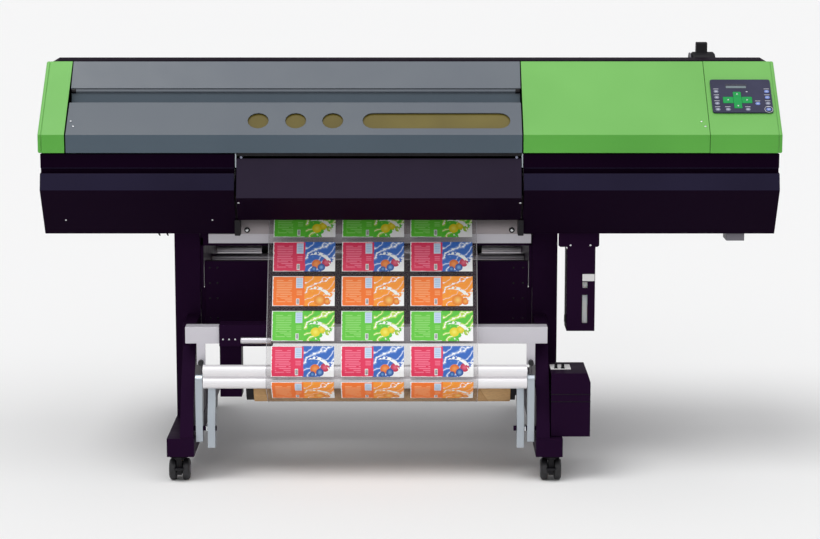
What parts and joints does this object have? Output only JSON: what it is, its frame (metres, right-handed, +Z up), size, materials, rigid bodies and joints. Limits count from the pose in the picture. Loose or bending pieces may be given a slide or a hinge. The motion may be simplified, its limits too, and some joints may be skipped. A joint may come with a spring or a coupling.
{
  "type": "ultraviolet inkjet label printer",
  "caption": "Wide roll-to-roll ultraviolet label printer: green and grey hood, castored stand, supply roll at the back and a take-up unit winding printed film in front.",
  "frame": {"origin": "on the floor, under the middle of the head's width and of the stand's depth", "axes": "+X to the operator's right along the head, -Y towards the operator, +Z up"},
  "size_m": [1.7, 0.8, 0.991],
  "materials": {
    "green_cover_paint": "smooth semi-gloss green paint on moulded and folded covers",
    "black_cover_plastic": "glossy near-black moulded covers with a violet cast",
    "grey_cover_paint": "smooth semi-gloss blue-grey paint",
    "black_case_paint": "glossy near-black paint with a violet cast",
    "amber_glass": "amber ultraviolet filter pane, polished",
    "panel_slate": "satin membrane panel",
    "key_grey": "satin membrane key",
    "key_blue": "satin membrane key",
    "key_green": "satin membrane key",
    "platen_steel": "bead-blasted bed plate",
    "bright_aluminium": "clear-anodised extrusion, satin",
    "plated_steel": "zinc-plated plate, satin",
    "black_plastic": "moulded black plastic, fine texture",
    "soft_rubber": "dark rubber, matt",
    "kraft_board": "spiral-wound kraft board",
    "clear_film": "clear plastic film",
    "bottle_plastic": "translucent blow-moulded plastic"
  },
  "bodies": {
    "base": {"head_frame": "plated_steel", "left_lower_housing": "black_cover_plastic", "right_lower_housing": "black_cover_plastic", "left_end_cover": "green_cover_paint", "right_cover": "green_cover_paint", "panel_cover": "green_cover_paint", "upper_cover": "grey_cover_paint", "rear_cover": "black_cover_plastic", "front_apron": "black_case_paint", "platen": "platen_steel", "control_panel": "panel_slate", "left_leg": "black_case_paint", "right_leg": "black_case_paint", "back_panel": "black_case_paint", "crossbar": "bright_aluminium", "take_up_motor_box": "black_case_paint", "drain_bottle_bracket": "black_case_paint", "printed_film": "clear_film"},
    "front_cover": {"front_cover": "grey_cover_paint", "uv_window_pane": "amber_glass"},
    "print_carriage": {"print_carriage": "black_plastic"},
    "feed_roller": {"feed_roller": "plated_steel"},
    "pinch_roller": {"pinch_roller": "soft_rubber"},
    "loading_lever": {"loading_lever": "black_plastic"},
    "left_key_1": {"left_key_1": "key_grey"},
    "left_key_2": {"left_key_2": "key_grey"},
    "left_key_3": {"left_key_3": "key_grey"},
    "left_key_4": {"left_key_4": "key_grey"},
    "right_key_1": {"right_key_1": "key_blue"},
    "right_key_2": {"right_key_2": "key_grey"},
    "right_key_3": {"right_key_3": "key_blue"},
    "right_key_4": {"right_key_4": "key_blue"},
    "lower_key_1": {"lower_key_1": "key_grey"},
    "lower_key_2": {"lower_key_2": "key_grey"},
    "enter_key": {"enter_key": "key_blue"},
    "up_key": {"up_key": "key_green"},
    "down_key": {"down_key": "key_green"},
    "left_arrow_key": {"left_arrow_key": "key_green"},
    "right_arrow_key": {"right_arrow_key": "key_green"},
    "caster_fork_front_left": {"caster_fork_front_left": "black_plastic"},
    "caster_wheels_front_left": {"caster_wheels_front_left": "soft_rubber"},
    "caster_fork_front_right": {"caster_fork_front_right": "black_plastic"},
    "caster_wheels_front_right": {"caster_wheels_front_right": "soft_rubber"},
    "caster_fork_rear_left": {"caster_fork_rear_left": "black_plastic"},
    "caster_wheels_rear_left": {"caster_wheels_rear_left": "soft_rubber"},
    "caster_fork_rear_right": {"caster_fork_rear_right": "black_plastic"},
    "caster_wheels_rear_right": {"caster_wheels_rear_right": "soft_rubber"},
    "guide_frame": {"guide_bar": "bright_aluminium", "left_swing_arm": "plated_steel", "right_swing_arm": "plated_steel"},
    "take_up_tube": {"take_up_tube": "kraft_board", "take_up_drive_flange": "black_plastic"},
    "tube_holder": {"tube_holder": "black_case_paint"},
    "take_up_idler_flange": {"take_up_idler_flange": "black_plastic"},
    "supply_roll": {"supply_roll": "clear_film"},
    "front_roll_shaft": {"front_roll_shaft": "bright_aluminium"},
    "rear_roll_shaft": {"rear_roll_shaft": "bright_aluminium"},
    "drain_bottle": {"drain_bottle": "bottle_plastic"},
    "take_up_switch_1": {"take_up_switch_1": "black_plastic"},
    "take_up_switch_2": {"take_up_switch_2": "black_plastic"}
  },
  "joints": [
    {"name": "front_cover_hinge", "type": "hinge", "parent": "base", "child": "front_cover", "pos_m": [-0.786, -0.2095, 0.887], "axis": [-1, 0, 0], "range_deg": [0, 75]},
    {"name": "carriage_slide", "type": "slide", "parent": "base", "child": "print_carriage", "axis": [1, 0, 0], "range_m": [-1.24, 0]},
    {"name": "feed_roller_spin", "type": "hinge", "parent": "base", "child": "feed_roller", "pos_m": [-0.395, 0.03, 0.6403], "axis": [1, 0, 0], "continuous": true},
    {"name": "pinch_roller_spin", "type": "hinge", "parent": "base", "child": "pinch_roller", "pos_m": [-0.395, 0.03, 0.6627], "axis": [1, 0, 0], "continuous": true},
    {"name": "loading_lever_hinge", "type": "hinge", "parent": "base", "child": "loading_lever", "pos_m": [0.7, -0.065, 0.938], "axis": [-1, 0, 0], "range_deg": [0, 30]},
    {"name": "left_key_1_press", "type": "slide", "parent": "base", "child": "left_key_1", "axis": [0, 0.6847, -0.7288], "range_m": [0, 0.0008], "stiffness_N_per_m": 1000},
    {"name": "left_key_2_press", "type": "slide", "parent": "base", "child": "left_key_2", "axis": [0, 0.6847, -0.7288], "range_m": [0, 0.0008], "stiffness_N_per_m": 1000},
    {"name": "left_key_3_press", "type": "slide", "parent": "base", "child": "left_key_3", "axis": [0, 0.6847, -0.7288], "range_m": [0, 0.0008], "stiffness_N_per_m": 1000},
    {"name": "left_key_4_press", "type": "slide", "parent": "base", "child": "left_key_4", "axis": [0, 0.6847, -0.7288], "range_m": [0, 0.0008], "stiffness_N_per_m": 1000},
    {"name": "right_key_1_press", "type": "slide", "parent": "base", "child": "right_key_1", "axis": [0, 0.6847, -0.7288], "range_m": [0, 0.0008], "stiffness_N_per_m": 1000},
    {"name": "right_key_2_press", "type": "slide", "parent": "base", "child": "right_key_2", "axis": [0, 0.6847, -0.7288], "range_m": [0, 0.0008], "stiffness_N_per_m": 1000},
    {"name": "right_key_3_press", "type": "slide", "parent": "base", "child": "right_key_3", "axis": [0, 0.6847, -0.7288], "range_m": [0, 0.0008], "stiffness_N_per_m": 1000},
    {"name": "right_key_4_press", "type": "slide", "parent": "base", "child": "right_key_4", "axis": [0, 0.6847, -0.7288], "range_m": [0, 0.0008], "stiffness_N_per_m": 1000},
    {"name": "lower_key_1_press", "type": "slide", "parent": "base", "child": "lower_key_1", "axis": [0, 0.6847, -0.7288], "range_m": [0, 0.0008], "stiffness_N_per_m": 1000},
    {"name": "lower_key_2_press", "type": "slide", "parent": "base", "child": "lower_key_2", "axis": [0, 0.6847, -0.7288], "range_m": [0, 0.0008], "stiffness_N_per_m": 1000},
    {"name": "enter_key_press", "type": "slide", "parent": "base", "child": "enter_key", "axis": [0, 0.6847, -0.7288], "range_m": [0, 0.0008], "stiffness_N_per_m": 1000},
    {"name": "up_key_press", "type": "slide", "parent": "base", "child": "up_key", "axis": [0, 0.6847, -0.7288], "range_m": [0, 0.0008], "stiffness_N_per_m": 1000},
    {"name": "down_key_press", "type": "slide", "parent": "base", "child": "down_key", "axis": [0, 0.6847, -0.7288], "range_m": [0, 0.0008], "stiffness_N_per_m": 1000},
    {"name": "left_arrow_key_press", "type": "slide", "parent": "base", "child": "left_arrow_key", "axis": [0, 0.6847, -0.7288], "range_m": [0, 0.0008], "stiffness_N_per_m": 1000},
    {"name": "right_arrow_key_press", "type": "slide", "parent": "base", "child": "right_arrow_key", "axis": [0, 0.6847, -0.7288], "range_m": [0, 0.0008], "stiffness_N_per_m": 1000},
    {"name": "caster_swivel_front_left", "type": "hinge", "parent": "base", "child": "caster_fork_front_left", "pos_m": [-0.5326, -0.377, 0.0605], "axis": [0, 0, 1], "continuous": true},
    {"name": "caster_roll_front_left", "type": "hinge", "parent": "caster_fork_front_left", "child": "caster_wheels_front_left", "pos_m": [-0.5326, -0.365, 0.025], "axis": [1, 0, 0], "continuous": true},
    {"name": "caster_swivel_front_right", "type": "hinge", "parent": "base", "child": "caster_fork_front_right", "pos_m": [0.3255, -0.377, 0.0605], "axis": [0, 0, 1], "continuous": true},
    {"name": "caster_roll_front_right", "type": "hinge", "parent": "caster_fork_front_right", "child": "caster_wheels_front_right", "pos_m": [0.3255, -0.365, 0.025], "axis": [1, 0, 0], "continuous": true},
    {"name": "caster_swivel_rear_left", "type": "hinge", "parent": "base", "child": "caster_fork_rear_left", "pos_m": [-0.5326, 0.362, 0.0605], "axis": [0, 0, 1], "continuous": true},
    {"name": "caster_roll_rear_left", "type": "hinge", "parent": "caster_fork_rear_left", "child": "caster_wheels_rear_left", "pos_m": [-0.5326, 0.374, 0.025], "axis": [1, 0, 0], "continuous": true},
    {"name": "caster_swivel_rear_right", "type": "hinge", "parent": "base", "child": "caster_fork_rear_right", "pos_m": [0.3255, 0.362, 0.0605], "axis": [0, 0, 1], "continuous": true},
    {"name": "caster_roll_rear_right", "type": "hinge", "parent": "caster_fork_rear_right", "child": "caster_wheels_rear_right", "pos_m": [0.3255, 0.374, 0.025], "axis": [1, 0, 0], "continuous": true},
    {"name": "guide_frame_swing", "type": "hinge", "parent": "base", "child": "guide_frame", "pos_m": [-0.4755, -0.365, 0.121], "axis": [-1, 0, 0], "range_deg": [0, 5]},
    {"name": "take_up_spin", "type": "hinge", "parent": "base", "child": "take_up_tube", "pos_m": [-0.362, -0.299, 0.2105], "axis": [1, 0, 0], "continuous": true},
    {"name": "tube_holder_slide", "type": "slide", "parent": "base", "child": "tube_holder", "axis": [-1, 0, 0], "range_m": [0, 0.025]},
    {"name": "idler_spin", "type": "hinge", "parent": "tube_holder", "child": "take_up_idler_flange", "pos_m": [-0.39, -0.299, 0.2105], "axis": [1, 0, 0], "continuous": true},
    {"name": "supply_roll_spin", "type": "hinge", "parent": "base", "child": "supply_roll", "pos_m": [-0.3675, 0.145, 0.5], "axis": [1, 0, 0], "continuous": true},
    {"name": "front_roll_shaft_spin", "type": "hinge", "parent": "base", "child": "front_roll_shaft", "pos_m": [-0.4895, 0.075, 0.45], "axis": [1, 0, 0], "continuous": true},
    {"name": "rear_roll_shaft_spin", "type": "hinge", "parent": "base", "child": "rear_roll_shaft", "pos_m": [-0.4895, 0.215, 0.45], "axis": [1, 0, 0], "continuous": true},
    {"name": "drain_bottle_slide", "type": "slide", "parent": "base", "child": "drain_bottle", "axis": [0, 1, 0], "range_m": [0, 0.09]},
    {"name": "take_up_switch_1_toggle", "type": "hinge", "parent": "base", "child": "take_up_switch_1", "pos_m": [0.338, -0.325, 0.2535], "axis": [-1, 0, 0], "range_deg": [-14, 14]},
    {"name": "take_up_switch_2_toggle", "type": "hinge", "parent": "base", "child": "take_up_switch_2", "pos_m": [0.354, -0.325, 0.2535], "axis": [-1, 0, 0], "range_deg": [-14, 14]}
  ],
  "couplings": [
    {"joint": "pinch_roller_spin", "follows": "feed_roller_spin", "ratio": -1.3333},
    {"joint": "idler_spin", "follows": "take_up_spin", "ratio": 1},
    {"joint": "front_roll_shaft_spin", "follows": "supply_roll_spin", "ratio": -6.7727},
    {"joint": "rear_roll_shaft_spin", "follows": "supply_roll_spin", "ratio": -6.7727}
  ]
}
